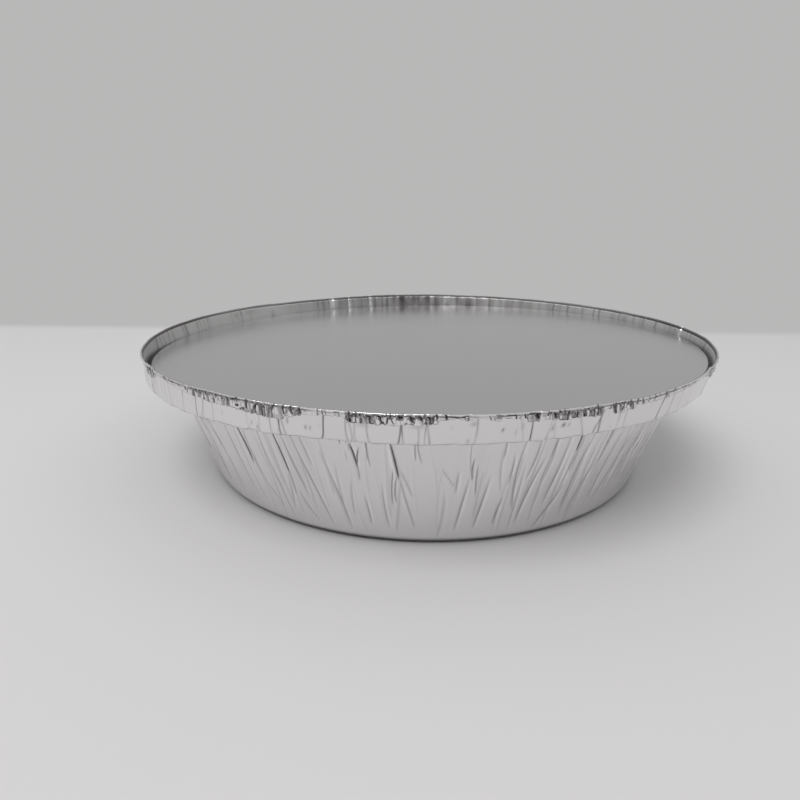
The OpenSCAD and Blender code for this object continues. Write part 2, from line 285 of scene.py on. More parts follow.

# The dark folds in the front of the hem, each a short stroke of painted shade: degrees from the front and
# share of the hem's height at its two ends, its width in mm and how dark it is
HEM_STROKES = [
    (-25.3, -0.02, -25.3, 0.72, 0.59, 1.00), (-23.5, 0.07, -23.9, 0.56, 0.49, 0.95),
    (-24.0, 0.68, -24.3, 1.22, 0.27, 0.80), (-27.1, 0.58, -26.8, 0.61, 0.46, 1.00),
    (-26.4, 0.95, -25.7, 0.86, 0.27, 0.90), (-25.9, 0.92, -26.0, 1.44, 0.27, 0.60),
    (-22.1, 0.22, -22.1, 0.71, 0.40, 1.00), (-20.6, -0.12, -20.9, 0.57, 0.35, 1.00),
    (-20.9, 0.82, -21.0, 1.44, 0.35, 0.85), (-22.7, 0.78, -22.9, 1.42, 0.22, 0.60),
    (-19.1, -0.09, -19.0, 0.67, 0.37, 1.00), (-18.0, -0.08, -17.7, 0.54, 0.39, 0.95),
    (-18.6, 0.21, -18.7, 0.59, 0.19, 0.60), (-16.7, -0.08, -16.5, 0.37, 0.34, 1.00),
    (-15.7, -0.05, -15.9, 0.20, 0.25, 0.50), (-14.0, -0.18, -14.0, 0.64, 0.23, 0.75),
    (-32.7, 0.48, -32.7, 0.93, 0.38, 0.80), (-31.8, 0.48, -31.7, 0.84, 0.38, 0.70),
    (-30.6, 0.31, -30.3, 0.64, 0.23, 0.50), (-28.7, 0.04, -28.6, 0.54, 0.23, 0.60),
    (-27.8, -0.02, -27.0, -0.12, 0.27, 0.90), (-28.5, 0.64, -28.3, 1.00, 0.28, 0.50),
    (-29.4, 0.26, -29.7, 0.94, 0.21, 0.50), (-24.5, 0.01, -24.6, 0.51, 0.22, 0.50),
    (-21.4, 0.26, -21.4, 0.75, 0.26, 0.50), (-13.3, -0.12, -13.3, 0.29, 0.27, 0.80),
    (-12.9, -0.09, -12.8, 0.20, 0.25, 0.70), (-11.7, -0.06, -11.0, -0.10, 0.21, 0.80),
    (-11.1, -0.04, -10.9, 0.30, 0.25, 0.70), (-11.5, 0.22, -11.5, 0.63, 0.21, 0.60),
    (-10.1, -0.10, -9.8, 0.59, 0.21, 0.80), (-9.7, -0.36, -9.6, 0.93, 0.29, 0.90),
    (-9.5, 0.57, -9.5, 0.98, 0.54, 1.00), (-9.1, 0.08, -8.7, 0.06, 0.29, 0.80),
    (-9.1, 0.08, -9.2, 0.91, 0.19, 0.60), (-8.7, -0.18, -8.7, 0.87, 0.27, 0.85),
    (-9.0, 1.04, -8.7, 1.03, 0.45, 1.00), (-8.1, -0.09, -8.1, 0.37, 0.29, 0.70),
    (-8.0, 0.49, -8.0, 1.13, 0.58, 0.80), (-7.3, 0.07, -6.8, 0.11, 0.45, 1.00),
    (-7.3, 0.22, -7.2, 1.04, 0.33, 0.65), (-6.9, 0.20, -6.8, 1.01, 0.47, 0.85),
    (-6.8, 0.96, -6.4, 1.00, 0.45, 1.00), (-6.2, 0.52, -6.0, 1.04, 0.25, 0.60),
    (-5.8, 0.04, -5.6, 0.15, 0.45, 1.00), (-5.6, 0.15, -5.2, 0.72, 0.35, 1.00),
    (-5.4, 0.84, -5.5, 1.02, 0.24, 0.90), (-5.1, 0.71, -4.9, 0.88, 0.26, 0.90),
    (-4.5, 0.23, -4.6, 0.75, 0.35, 1.00), (-4.7, -0.34, -4.6, 0.11, 0.20, 0.60),
    (-4.2, -0.36, -4.0, 0.44, 0.24, 0.80), (-4.0, 0.44, -3.7, 0.78, 0.20, 0.70),
    (-3.0, 0.07, -2.7, 0.12, 0.73, 0.95), (-2.5, -0.29, -2.7, 0.29, 0.24, 0.70),
    (-2.3, 0.81, -2.0, 0.80, 0.22, 0.70), (-1.6, 0.04, -1.4, 0.38, 0.38, 0.90),
    (-1.4, -0.08, -1.1, 0.61, 0.22, 0.70), (-1.6, 0.85, -1.2, 0.84, 0.24, 0.80),
    (-0.4, 0.02, -0.1, 0.25, 0.53, 1.00), (0.0, 0.37, -0.0, 0.83, 0.32, 0.60),
    (0.3, -0.21, 0.5, 0.71, 0.22, 0.70), (0.7, 0.13, 1.0, 0.24, 0.44, 1.00),
    (0.9, 0.36, 1.2, 0.82, 0.22, 0.80), (1.5, 0.01, 1.3, 0.82, 0.22, 0.75),
    (1.8, -0.10, 1.9, 0.13, 0.44, 0.90), (3.0, -0.10, 3.1, 0.17, 0.53, 1.00),
    (3.2, -0.03, 4.5, 0.08, 0.26, 1.00), (4.6, 0.09, 4.8, 0.38, 0.45, 0.80),
    (4.8, 0.10, 6.0, -0.01, 0.24, 0.90), (5.9, 0.17, 6.1, 0.58, 0.22, 0.80),
    (5.3, 0.04, 5.5, 0.34, 0.37, 0.50), (8.7, 0.02, 8.9, 0.37, 0.27, 0.70),
    (9.3, 0.16, 9.5, 0.92, 0.21, 0.60), (9.6, -0.09, 10.4, -0.06, 0.25, 0.90),
    (9.7, 0.17, 10.2, 0.19, 0.41, 0.60), (11.0, -0.05, 12.2, -0.02, 0.25, 0.95),
    (12.2, 0.00, 12.3, 0.47, 0.31, 0.90), (12.7, 0.37, 13.0, -0.04, 0.19, 0.60),
    (13.4, 0.01, 13.6, 0.49, 0.36, 0.95), (13.8, -0.03, 13.8, 0.62, 0.21, 0.70),
    (14.1, -0.07, 14.4, -0.05, 0.25, 0.80), (14.6, -0.03, 15.6, 0.00, 0.27, 1.00),
    (14.9, 0.10, 15.1, 0.93, 0.55, 0.60), (15.2, 0.12, 15.4, 0.37, 0.34, 0.90),
    (16.8, -0.12, 16.7, 0.23, 0.23, 0.80), (17.0, 0.01, 16.9, 0.71, 0.21, 0.60),
    (17.2, 0.03, 17.4, 0.75, 0.21, 0.60), (17.7, 0.07, 17.9, 0.44, 0.43, 0.90),
    (17.9, 0.44, 17.9, 0.91, 0.21, 0.50), (18.3, -0.01, 18.3, 0.82, 0.26, 0.80),
    (18.4, -0.12, 18.7, -0.03, 0.28, 0.90), (19.2, 0.07, 19.2, 0.78, 1.08, 0.50),
    (19.7, -0.00, 19.6, 0.94, 0.43, 0.85), (18.8, 0.16, 18.8, 0.86, 0.26, 0.70),
    (18.4, 0.89, 19.7, 0.99, 0.22, 0.90), (20.7, 0.20, 20.5, 0.78, 0.26, 0.70),
    (21.1, 0.24, 21.0, 0.88, 0.44, 0.95), (20.3, 0.85, 21.0, 0.91, 0.24, 0.80),
    (-31.2, 1.09, -27.9, 1.14, 0.28, 0.40), (21.8, 0.07, 21.8, 0.67, 0.29, 0.60),
    (22.4, -0.05, 22.4, 0.61, 0.33, 0.75), (23.0, 0.07, 23.0, 0.85, 0.24, 0.80),
    (23.4, 0.23, 23.4, 0.83, 0.58, 0.50), (23.9, 0.04, 23.8, 0.88, 0.29, 0.85),
    (23.1, 0.87, 23.8, 0.90, 0.22, 0.80), (24.4, -0.15, 24.4, 0.81, 0.36, 1.00),
    (24.9, -0.10, 24.8, 0.37, 0.22, 0.60), (26.6, 0.16, 26.3, 0.79, 0.34, 0.80),
    (27.5, -0.04, 27.5, 0.93, 0.39, 1.00), (27.0, 0.14, 26.9, 0.61, 0.23, 0.60),
    (29.0, -0.05, 28.6, 0.70, 0.37, 0.85), (29.5, -0.05, 29.4, 0.31, 0.23, 0.60),
    (30.4, -0.12, 30.1, 0.27, 0.37, 0.70), (31.6, -0.28, 31.4, 0.31, 0.43, 0.85),
    (32.7, -0.20, 32.6, 0.35, 0.31, 0.75), (33.9, -0.16, 33.7, 0.38, 0.29, 0.60),
    (35.3, -0.27, 35.1, 0.33, 0.32, 0.60), (36.3, -0.26, 36.0, 0.08, 0.25, 0.50),
    (38.0, -0.33, 37.9, 0.23, 0.30, 0.70), (40.4, -0.36, 39.8, 0.14, 0.36, 0.70),
]

# How much higher the rim stands at its right and its back: degrees from +X and mm
RIM_LIFT = [
    (-58, 0.0), (-48, 0.4), (-38, 0.8), (-30, 0.9), (0, 0.95), (20, 0.98), (60, 1.02), (88, 1.05),
    (100, 0.85), (112, 0.55), (125, 0.2), (135, 0.1), (145, 0.3), (158, 0.15), (172, 0.0),
]


def arc(centre, radius, first, last, count):
    """Points on an arc of the section between two angles in radians, ends included."""
    angles = np.linspace(first, last, count)
    return [(centre[0] + radius * math.cos(a), centre[1] + radius * math.sin(a)) for a in angles]


def between(first, last, share):
    return (first[0] + share * (last[0] - first[0]), first[1] + share * (last[1] - first[1]))


def finished(bm, name):
    """Turns a bmesh into an object at the origin."""
    mesh = bpy.data.meshes.new(name)
    bm.to_mesh(mesh)
    bm.free()
    mesh.shade_smooth()
    piece = bpy.data.objects.new(name, mesh)
    bpy.context.scene.collection.objects.link(piece)
    return piece


def closed_up(bm):
    """Merges the points that lie together, and turns the faces the same way."""
    bmesh.ops.remove_doubles(bm, verts=bm.verts[:], dist=WELD_GAP)
    bmesh.ops.recalc_face_normals(bm, faces=bm.faces[:])


def bent_sheet(name, section, steps, folds, start=0.0, sweep=ROUND):
    """Bends a grid round the pan along a section of (radius, height, station) points.

    The folds are a function of the grid's angles and stations. It tells how far each point moves
    outwards and upwards, and how much painted shade darkens the foil there, or below zero how much painted
    highlight lightens it."""
    rows = len(section)
    radius, height, station = (np.repeat(np.array(v)[:, None], steps + 1, 1) for v in zip(*section))
    angle = np.repeat((start + sweep * np.arange(steps + 1) / steps)[None, :] % ROUND, rows, 0)
    out, up, shade = folds(angle, station, radius)
    radius, height = radius + out, height + up
    places = np.stack([radius * np.cos(angle), radius * np.sin(angle), height], -1)
    # Painted shade up to 1, and painted highlight down to the limit below zero
    shade = np.clip(shade, MOST_PAINTED_HIGHLIGHT, 1)
    bm = bmesh.new()
    layer = bm.verts.layers.float.new("shade")
    bmesh.ops.create_grid(bm, x_segments=rows - 1, y_segments=steps, size=1.0)
    for vert in bm.verts:
        row = round((vert.co.x + 1) / 2 * (rows - 1))
        step = round((vert.co.y + 1) / 2 * steps)
        vert.co = places[row, step]
        vert[layer] = shade[row, step]
    closed_up(bm)
    piece = finished(bm, name)
    thicken = piece.modifiers.new("foil thickness", "SOLIDIFY")
    thicken.thickness = FOIL_T
    thicken.offset = 0
    return piece


def unit(value):
    """A value held between 0 and 1."""
    return np.clip(value, 0, 1)


def hill(x, power=2):
    """A smooth hill, 1 at zero and next to nothing beyond 2. A higher power gives it a flat top."""
    return np.exp(-x ** power)


def wrapped(angle):
    """An angle brought between minus and plus half a turn."""
    return (angle + math.pi) % ROUND - math.pi


def from_front(degrees):
    """The angle that lies a number of degrees from the front, to the right if it is above zero."""
    return math.radians(degrees - 90)


def off_front(angle):
    """How many degrees an angle lies from the front, to the right if it is above zero."""
    return np.degrees(wrapped(angle - from_front(0)))


def near_front(angle, full, none):
    """1 up to a number of degrees from the front, and falling to 0 at another."""
    return unit((none - np.abs(off_front(angle))) / (none - full))


def ring_hill(angle, centre, width, power=2):
    """A hill round the pan. Its centre and its width are in degrees, from +X."""
    return hill(wrapped(angle - math.radians(centre)) / math.radians(width), power)


def ring_noise(rng, angle, waves, size):
    """Smooth noise round the pan, from sines whose wave counts lie between two limits."""
    sines = 14
    counts = rng.integers(waves[0], waves[1] + 1, sines)
    phases = rng.uniform(0, ROUND, sines)
    return size * sum(np.sin(n * angle + p) for n, p in zip(counts, phases)) / math.sqrt(sines / 2)


def uneven_places(rng, widths):
    """Angles round the pan whose distances at the rim lie between two widths."""
    places = [0.0]
    while places[-1] < ROUND * RIM_R:
        places.append(places[-1] + rng.uniform(*widths))
    return np.array(places[:-1]) / places[-1] * ROUND


def folded_line(rng, angle, widths, reach):
    """A line folded at uneven places, straight between them, with a random height at each."""
    places = uneven_places(rng, widths)
    heights = rng.uniform(-reach, reach, len(places))
    return np.interp(angle % ROUND, np.append(places, ROUND), np.append(heights, heights[0]))


def rim_growth(angle):
    """The rim is a little out of round: it stands out at its right end."""
    return RIM_OUT * ring_hill(angle, 0, 28)


def rim_lift(angle):
    """The rim is not quite level."""
    degrees, lifts = zip(*RIM_LIFT)
    return np.interp(np.degrees(wrapped(angle)), degrees, lifts) * MM


def foot_out(angle):
    """In front of its left end, and a little at its right end, the foot of the flange stands further out."""
    return FOOT_OUT_LEFT * ring_hill(angle, 218, 33, 4) + FOOT_OUT_RIGHT * ring_hill(angle, -12, 24)


def bent_tips(angle, radius):
    """Where the top of the flange is bent outwards at the back, 0 to 1."""
    return sum(hill(wrapped(angle - from_front(a)) * radius / (w * MM), 4) for a, w in BENT_OUT)


def hem_reach(angle):
    """How far down the free edge of the hem reaches: as listed in front, in random groups elsewhere."""
    rng = np.random.default_rng(HEM_REACH_SEED)
    noise = ring_noise(rng, angle, (5, 40), 0.5) + ring_noise(rng, angle, (60, 150), 0.25)
    reach = TIGHT_HEM + (1 - TIGHT_HEM) * unit(noise - 0.05)
    listed = np.interp(off_front(angle), *zip(*HEM_EDGE))
    hold = near_front(angle, HEM_TO, HEM_TO + 4)
    return reach * (1 - hold) + listed * hold


def crushed_share(angle):
    """How much the hem is crushed at an angle, 0 to 1."""
    return unit((hem_reach(angle) - TIGHT_HEM) / 0.6)


def lean_out(angle):
    """In front, where the hem is not crushed, it lies flat on the flange, and both lean out together."""
    return LEAN_OUT * (1 - crushed_share(angle)) * near_front(angle, 55, 75)


def rim_panels(angle):
    """The long shallow panels that the flange and the hem share."""
    return folded_line(np.random.default_rng(PANEL_SEED), angle, *RIM_PANELS)


def crease_lean(rng, place):
    """How far a crease's foot lies from its head: creases lean a little, mostly towards the front."""
    return math.radians(rng.normal(0, 0.9) - 3.0 * math.sin(place - from_front(0)))


def listed_folds(table):
    """A table's folds as (points, dark, width). A point is an angle and a share of the wall's height."""
    folds = []
    for row in table:
        points = [(from_front(row[i]), row[i + 1]) for i in range(0, len(row) - 2, 2)]
        folds.append((points, row[-2], row[-1] * MM))
    return folds


def sharp_creases(rng):
    """The wall's sharp creases: as listed in front, and random elsewhere."""
    creases = listed_folds(FRONT_CREASES)
    for _ in range(SHARP_CREASES):
        place = rng.uniform(0, ROUND)
        top = 1.0 if rng.random() < 0.6 else rng.uniform(0.5, 0.9)
        low = max(top - rng.uniform(0.2, 0.75), 0.08)
        dark = rng.uniform(0.2, 0.5) if rng.random() < 0.75 else rng.uniform(0.6, 1.0)
        width = rng.uniform(0.4, 0.7) * MM
        foot = place + crease_lean(rng, place)
        if abs(off_front(place)) > CREASES_TO:
            creases.append(([(place, top), (foot, low)], dark, width))
    return creases


def faint_creases(rng):
    """Faint broad creases, random all round."""
    creases = []
    for _ in range(FAINT_CREASES):
        place = rng.uniform(0, ROUND)
        top = rng.uniform(0.4, 1.05)
        low = max(top - rng.uniform(0.35, 0.85), 0.0)
        dark, width = rng.uniform(0.06, 0.20), rng.uniform(0.55, 1.0) * MM
        creases.append(([(place, top), (place + crease_lean(rng, place), low)], dark, width))
    return creases


def wall_pleats(rng):
    """The listed pleats, and random ones all round that are fainter between the listed ones."""
    pleats = listed_folds(FRONT_PLEATS)
    for number in range(RANDOM_PLEATS):
        place = ROUND * (number + rng.uniform(-0.5, 0.5)) / RANDOM_PLEATS
        top = 1.0 if rng.random() < 0.7 else rng.uniform(0.6, 0.9)
        low = max(top - rng.uniform(0.5, 1.0), 0.0)
        dark, width = rng.uniform(0.18, 0.45), rng.uniform(1.0, 1.7) * MM
        width *= 1 if rng.random() < 0.8 else -1
        foot = place + crease_lean(rng, place)
        middle = (place + foot) / 2 + math.radians(rng.normal(0, 0.4))
        front = off_front(place)
        if abs(front) < PLEATS_TO:
            dark *= 0.65 if front > 12 else 0.4 if front < -20 else 0.2
        pleats.append(([(place, top), (middle, (top + low) / 2), (foot, low)], dark, width))
    return pleats


def along_fold(points, sheet):
    """The distance from a fold's line, and the share of its length from its lower end.

    A fold that runs into the ledge keeps about half its depth up there."""
    angles, shares = zip(*points)
    top, low = shares[0], shares[-1]
    level = np.clip(sheet.along, low, top)
    line = np.polyval(np.polyfit(shares, angles, len(points) - 1), level)
    share = (sheet.along - low) / (top - low)
    return wrapped(sheet.angle - line) * sheet.radius, np.clip(share, 0, 1 if top < 0.99 else 0.86)


def fold_depth(share, power):
    """How deep a fold is along its length: nothing at its ends, and most a little below its middle."""
    return np.sin(math.pi * share ** 0.8) ** power


def deepen(field, near, value):
    """Raises a field of values where a fold is near, and nowhere lowers it."""
    field[near] = np.maximum(field[near], value)


def press_pleat(sheet, points, dark, width):
    """Presses one pleat: the foil sinks slowly towards its line, and rises steeply behind it. Painted shade
    grows towards the line, and a painted highlight lies just behind it.
    """
    x, share = along_fold(points, sheet)
    x = x if width > 0 else -x
    near = (x > -abs(width)) & (x < 1.0 * MM) & (share > 0)
    x, deep = x[near], fold_depth(share[near], 0.6)
    ramp = np.where(x <= 0, unit(1 + x / abs(width)) ** 1.7, 0)
    back = np.where(x > 0, unit(1 - x / (0.35 * MM)), 0)
    sheet.shift[near] -= PLEAT_DEPTH * dark ** 0.5 * deep * (ramp + back)
    # Painted shade, growing slowly towards the line and falling off sharply behind it
    before = 0.55 * ramp + 0.45 * hill(x / (0.32 * MM))
    tone = np.where(x > 0, hill(x / (0.12 * MM)), before)
    deepen(sheet.shade, near, 1.25 * dark * deep * tone)
    # A painted highlight just behind the line
    deepen(sheet.light, near, 0.32 * dark * deep * hill((x / MM - 0.5) / 0.35))


def press_crease(rng, sheet, points, dark, width):
    """Presses one crease: a groove with painted shade in it, and a low ridge on one side, which catches the
    light and carries a painted highlight.
    """
    side = 1 if rng.random() < 0.5 else -1
    bow = math.radians(rng.normal(0, 0.2)) * sheet.radius
    x, share = along_fold(points, sheet)
    x = (x - bow * np.sin(math.pi * share)) * side
    near = (np.abs(x) < 4 * width) & (share > 0)
    deep = fold_depth(share[near], 0.7)
    x = x[near] / (width / 2 * (0.4 + 0.6 * deep))
    groove = -hill(x) + 0.45 * hill((x - 2.1) / 1.5)
    sheet.shift[near] += min(CREASE_DEPTH, 0.5 * width) * dark * deep * groove
    # Painted shade in the groove, and a painted highlight on the ridge
    deepen(sheet.shade, near, 1.1 * dark * np.minimum(1.7 * deep, 1) * hill(x / 0.85))
    deepen(sheet.light, near, 0.25 * dark * deep * hill((x - 2.1) / 1.1))


def pressed_wall(angle, radius, along):
    """How far the wall's creases and pleats move the sheet, and the painted shade and painted highlights they
    put on it.
    """
    rng = np.random.default_rng(CREASE_LIST_SEED)
    creases = sharp_creases(rng) + faint_creases(rng)
    pleats = wall_pleats(rng)
    sheet = SimpleNamespace(angle=angle, radius=radius, along=along)
    sheet.shift, sheet.shade, sheet.light = np.zeros((3, *angle.shape))
    for pleat in pleats:
        press_pleat(sheet, *pleat)
    rng = np.random.default_rng(CREASE_SHAPE_SEED)
    for crease in creases:
        press_crease(rng, sheet, *crease)
    # Painted shade where there is any, and elsewhere a painted highlight as shade below zero
    return sheet.shift, np.where(sheet.shade > 0.05, np.minimum(sheet.shade, 1), -sheet.light)


def wall_folds(angle, along, radius):
    """The wall's creases and pleats on soft facets, flutes and waves, which grow up the wall, with painted
    shade in the valleys and on the bend at the floor.
    """
    rng = np.random.default_rng(WALL_SEED)
    lean = ring_noise(rng, angle, (3, 9), math.radians(1.2))
    fan = angle - lean * (1 - unit(along))
    creases, shade = pressed_wall(angle, radius, along)
    growth = unit((along + 0.05) / 0.5)
    facets = folded_line(rng, fan, *WALL_FACETS)
    flutes = folded_line(rng, fan, *WALL_FLUTES)
    waves = ring_noise(rng, fan, (20, 50), 0.05 * MM)
    soft = (facets + flutes) * growth
    shift = creases + soft + waves * growth
    # Painted shade in the valleys of the soft facets and flutes
    shade = shade + 0.06 * unit(-soft / WALL_FACETS[1])
    # Painted shade on the bend at the floor, standing for the contact shadow
    contact_shade = 0.90 * unit((-0.008 - along) / 0.055)
    shade = np.maximum(shade, np.where(along < -0.005, contact_shade, -1))
    return shift * math.cos(WALL_SLOPE), -shift * math.sin(WALL_SLOPE), shade


def third(name, number, section, steps, folds):
    """One of the three pieces that a sheet is cut into round the pan."""
    start, sweep = number * ROUND / THIRDS, ROUND / THIRDS
    return bent_sheet("%s_%d" % (name, number + 1), section, steps // THIRDS, folds, start, sweep)


def make_wall(number):
    """A third of the wall with the bend below it, from the flat foot up to the ledge."""
    bend = arc((FOOT_OUT_R, BASE_Z + CORNER_R), CORNER_R, -math.pi / 2, -WALL_SLOPE, 8)
    section = [(WALL_START_R, BASE_Z, -0.3)]
    section += [(r, z, -0.2 * (1 - i / (len(bend) - 1))) for i, (r, z) in enumerate(bend[:-1])]
    section += [(*between(WALL_FOOT, WALL_HEAD, w), w) for w in np.linspace(0, 1, 36)]
    turn_r = WALL_HEAD[0] + SHOULDER_R * math.cos(WALL_SLOPE)
    turn_z = WALL_HEAD[1] - SHOULDER_R * math.sin(WALL_SLOPE)
    shoulder = arc((turn_r, turn_z), SHOULDER_R, math.pi - WALL_SLOPE, math.pi / 2, 4)
    section += [(r, z, 1.0) for r, z in shoulder[1:]]
    return third("foil_pan_wall", number, section, WALL_STEPS, wall_folds)


def flange_creases(rng):
    """The flange's creases, listed in front and random elsewhere, as (angle at the top, at the foot, dark)."""
    creases = [(from_front(a), from_front(b), dark) for a, b, dark in FLANGE_CREASES]
    for _ in range(RANDOM_FLANGE_CREASES):
        place = rng.uniform(0, ROUND)
        dark = rng.uniform(0.25, 0.6) if rng.random() < 0.7 else rng.uniform(0.7, 1.0)
        if abs(off_front(place)) > FLANGE_TO:
            creases.append((place, place + math.radians(rng.normal(0, 0.3)), dark))
    return creases


def press_flange_crease(rng, sheet, upper, lower, dark):
    """Presses one crease of the flange: a fine groove with painted shade, fading upwards, and a dot of painted
    shade at its foot.

    At the back it is broader and fainter."""
    high = sheet.high
    bow, hook = math.radians(rng.normal(0, 0.12)), math.radians(rng.normal(0, 0.22))
    line = lower + high * (upper - lower) + bow * np.sin(math.pi * high) + hook * np.exp(-high / 0.08)
    width = rng.uniform(0.13, 0.19) * MM
    if abs(off_front(lower)) > BEHIND:
        width *= rng.uniform(2, 5)
        dark *= 0.5
    x = wrapped(sheet.angle - line) * sheet.radius / width
    near = np.abs(x) < 6
    x, level = x[near], high[near]
    fade = rng.uniform(0.1, 1.0) + (1 - rng.uniform(0.1, 1.0)) * np.abs(level - rng.uniform(0, 0.6)) * 1.6
    sheet.shift[near] += FLANGE_CREASE_DEPTH * dark * (-hill(x) + 0.4 * hill((x - 2) / 1.5))
    # Painted shade in the groove and in a dot at its foot
    foot_shade_dot = 0.9 * dark * np.exp(-(x / 1.7) ** 2 - ((level - 0.03) / 0.05) ** 2)
    crease_shade = 1.05 * dark * np.clip(fade, 0.35, 1) * hill(x)
    deepen(sheet.shade, near, np.maximum(crease_shade, foot_shade_dot))


def flange_dents(rng):
    """The flange's dents as (angle, share, half width, half height, dark, depth), dark being their painted
    shade.
    """
    dents = [(from_front(a), share, wide * MM, tall * MM, dark, LISTED_DENT_DEPTH)
             for a, share, wide, tall, dark in FLANGE_MARKS]
    for _ in range(RANDOM_DENTS):
        place, size = rng.uniform(0, ROUND), rng.uniform(0.18, 0.35) * MM
        share, tall = rng.uniform(0.1, 0.9), rng.uniform(1, 2) * size
        dents.append((place, share, size, tall, rng.uniform(0.1, 0.5), RANDOM_DENT_DEPTH))
    return dents


def press_dent(sheet, place, share, wide, tall, dark, depth):
    x = wrapped(sheet.angle - place) * sheet.radius / wide
    z = (sheet.high - share) * FLANGE_H / tall
    dent = np.exp(-x ** 2 - z ** 2)
    sheet.shift -= min(depth, 0.3 * wide) * dent
    # Painted shade in the dent
    sheet.shade = np.maximum(sheet.shade, dark * dent)


def with_foot_shade_line(rng, angle, along, shade):
    """Adds painted shade: an uneven dark line in the corner where the flange meets the ledge."""
    dark = np.clip(0.6 + folded_line(rng, angle, *FOOT_SHADE_TONE), 0.1, 1)
    return np.maximum(shade * unit(along / 0.06), dark * hill(along / 0.022))


def with_painted_blotches(rng, angle, high, much, shade):
    """Adds patches of painted shade and painted highlight to the crumpled foil inside the back of the flange.
    """
    blotches = folded_line(rng, angle, *FINE_PAINTED_BLOTCHES)
    blotches = blotches + folded_line(rng, angle, *TURNING_PAINTED_BLOTCHES) * (2 * high - 1)
    # Above zero painted shade, below zero painted highlight
    blotches = much * np.clip(blotches, MOST_PAINTED_HIGHLIGHT, 0.9)
    return np.where(blotches > 0, np.maximum(shade, blotches), shade + blotches)


def flange_folds(angle, along, radius):
    """The flange's ripples, crumples, creases and dents, and where the whole of it leans or is bent."""
    rng = np.random.default_rng(FLANGE_SEED)
    high = unit(along)
    ripples = folded_line(rng, angle, *FLANGE_RIPPLES)
    crumpled = unit(1.3 - np.abs(wrapped(angle - math.radians(88))) / math.radians(32))
    crumples = folded_line(rng, angle, *UPPER_CRUMPLES) * crumpled * high
    crumples = crumples + folded_line(rng, angle, *LOWER_CRUMPLES) * crumpled * (1 - high)
    sheet = SimpleNamespace(angle=angle, radius=radius, high=high)
    sheet.shift, sheet.shade = np.zeros((2, *angle.shape))
    for crease in flange_creases(rng):
        press_flange_crease(rng, sheet, *crease)
    for dent in flange_dents(rng):
        press_dent(sheet, *dent)
    hold = np.where(along >= 0, 1, unit(1 + along))
    out = (rim_panels(angle) + ripples + sheet.shift + crumples) * hold
    out += (rim_growth(angle) + lean_out(angle)) * high + foot_out(angle) * (1 - high) * hold
    out += BENT_TIP * bent_tips(angle, radius) * unit((high - 0.35) / 0.65)
    scallops = folded_line(rng, angle, *FOOT_SCALLOPS) * (1 - high) ** 3 * hold
    shade = with_foot_shade_line(rng, angle, along, sheet.shade)
    shade = with_painted_blotches(rng, angle, high, crumpled * hold, shade)
    return out, scallops + rim_lift(angle) * high, shade


def make_flange():
    """The ledge and the upright flange, up to the crest of the hem."""
    top = (FLANGE_TOP_R, TOP_Z - 0.5 * MM)
    foot = (FLANGE_FOOT_R, LEDGE_Z)
    section = [(SHOULDER_X + SHOULDER_RUN, LEDGE_Z, -1.0)]
    for inwards, up, station in ((3.0, 0, -0.6), (0.4, 0, -0.1), (0.18, 0.01, -0.035), (0.04, 0.07, 0.0)):
        section.append((FLANGE_FOOT_R - inwards * MM, LEDGE_Z + up * MM, station))
    levels = (0.03, 0.08, 0.16, 0.26, 0.38, 0.5, 0.62, 0.74, 0.88, 1.0)
    section += [(*between(foot, top, w), w) for w in levels]
    return bent_sheet("foil_pan_flange", section, FLANGE_STEPS, flange_folds)


def pleat_places(rng):
    """Angles of the borders between the hem's small pleats, which are closer where it is crushed."""
    places = [0.0]
    ring = np.radians(np.arange(0, 360, 0.1))
    crushed = crushed_share(ring)
    while places[-1] < ROUND:
        much = crushed[int(places[-1] / ROUND * len(ring)) % len(ring)]
        places.append(places[-1] + rng.uniform(0.5, 1.5) * (1.1 - 0.40 * much) * MM / RIM_R)
    return np.array(places[:-1]) / places[-1] * ROUND


